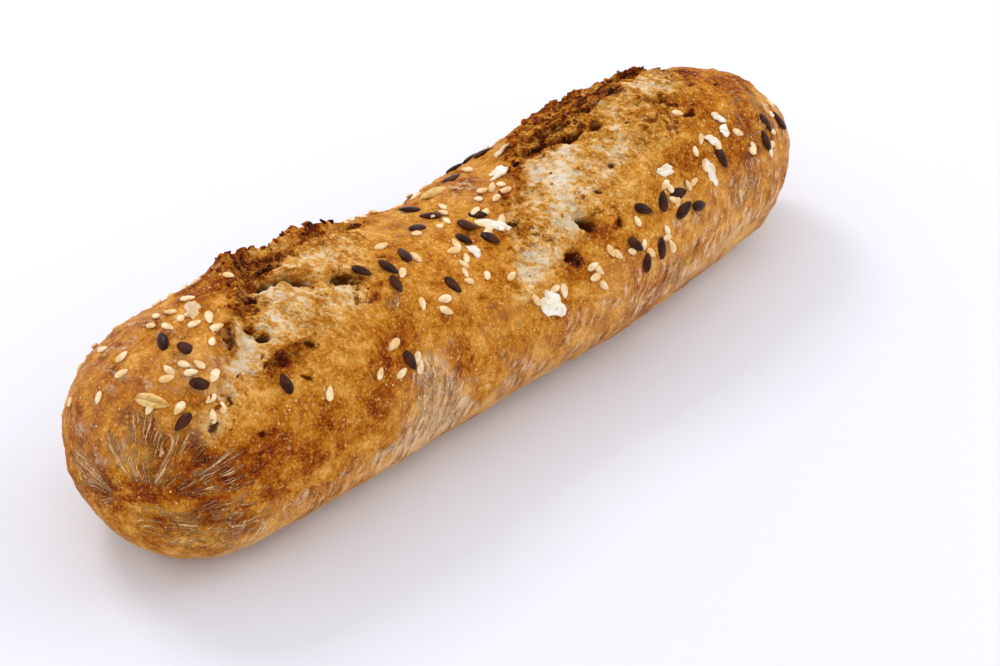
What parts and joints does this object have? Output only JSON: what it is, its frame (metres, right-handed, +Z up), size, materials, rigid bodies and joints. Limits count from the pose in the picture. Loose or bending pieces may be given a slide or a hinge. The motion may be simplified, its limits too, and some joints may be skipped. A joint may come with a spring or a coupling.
{
  "type": "seeded demi-baguette",
  "caption": "Short crusty baguette with rounded ends and two slanting scores burst open to rough crumb, its crust scattered with sesame, linseeds, oat flakes and grains",
  "frame": {"origin": "on the surface the loaf stands on, under the middle of its sole", "axes": "+X along the loaf from the wider end to the narrower end, +Y to the side where the torn ears stand, +Z up"},
  "size_m": [0.21, 0.0598, 0.0537],
  "materials": {
    "crust": "golden-brown baked crust, satin, with torn pale crumb and dark toasted edges in the two scores",
    "linseed": "glossy dark brown seed coat",
    "oat_flake": "matt floury white flake",
    "grain": "satin straw-coloured whole grain",
    "sesame": "satin cream seed coat"
  },
  "bodies": {
    "root": {"loaf": "crust", "grain_01": "grain", "grain_02": "grain", "grain_03": "grain", "linseed_01": "linseed", "linseed_02": "linseed", "linseed_03": "linseed", "linseed_04": "linseed", "linseed_05": "linseed", "linseed_06": "linseed", "linseed_07": "linseed", "linseed_08": "linseed", "linseed_09": "linseed", "linseed_10": "linseed", "linseed_11": "linseed", "linseed_12": "linseed", "linseed_13": "linseed", "linseed_14": "linseed", "linseed_15": "linseed", "linseed_16": "linseed", "linseed_17": "linseed", "linseed_18": "linseed", "linseed_19": "linseed", "linseed_20": "linseed", "linseed_21": "linseed", "linseed_22": "linseed", "linseed_23": "linseed", "linseed_24": "linseed", "linseed_25": "linseed", "linseed_26": "linseed", "linseed_27": "linseed", "linseed_28": "linseed", "linseed_29": "linseed", "linseed_30": "linseed", "linseed_31": "linseed", "linseed_32": "linseed", "linseed_33": "linseed", "linseed_34": "linseed", "linseed_35": "linseed", "linseed_36": "linseed", "linseed_37": "linseed", "linseed_38": "linseed", "linseed_39": "linseed", "linseed_40": "linseed", "oat_flake_01": "oat_flake", "oat_flake_02": "oat_flake", "oat_flake_03": "oat_flake", "oat_flake_04": "oat_flake", "oat_flake_05": "oat_flake", "oat_flake_06": "oat_flake", "oat_flake_07": "oat_flake", "oat_flake_08": "oat_flake", "oat_flake_09": "oat_flake", "oat_flake_10": "oat_flake", "oat_flake_11": "oat_flake"}
  },
  "joints": []
}
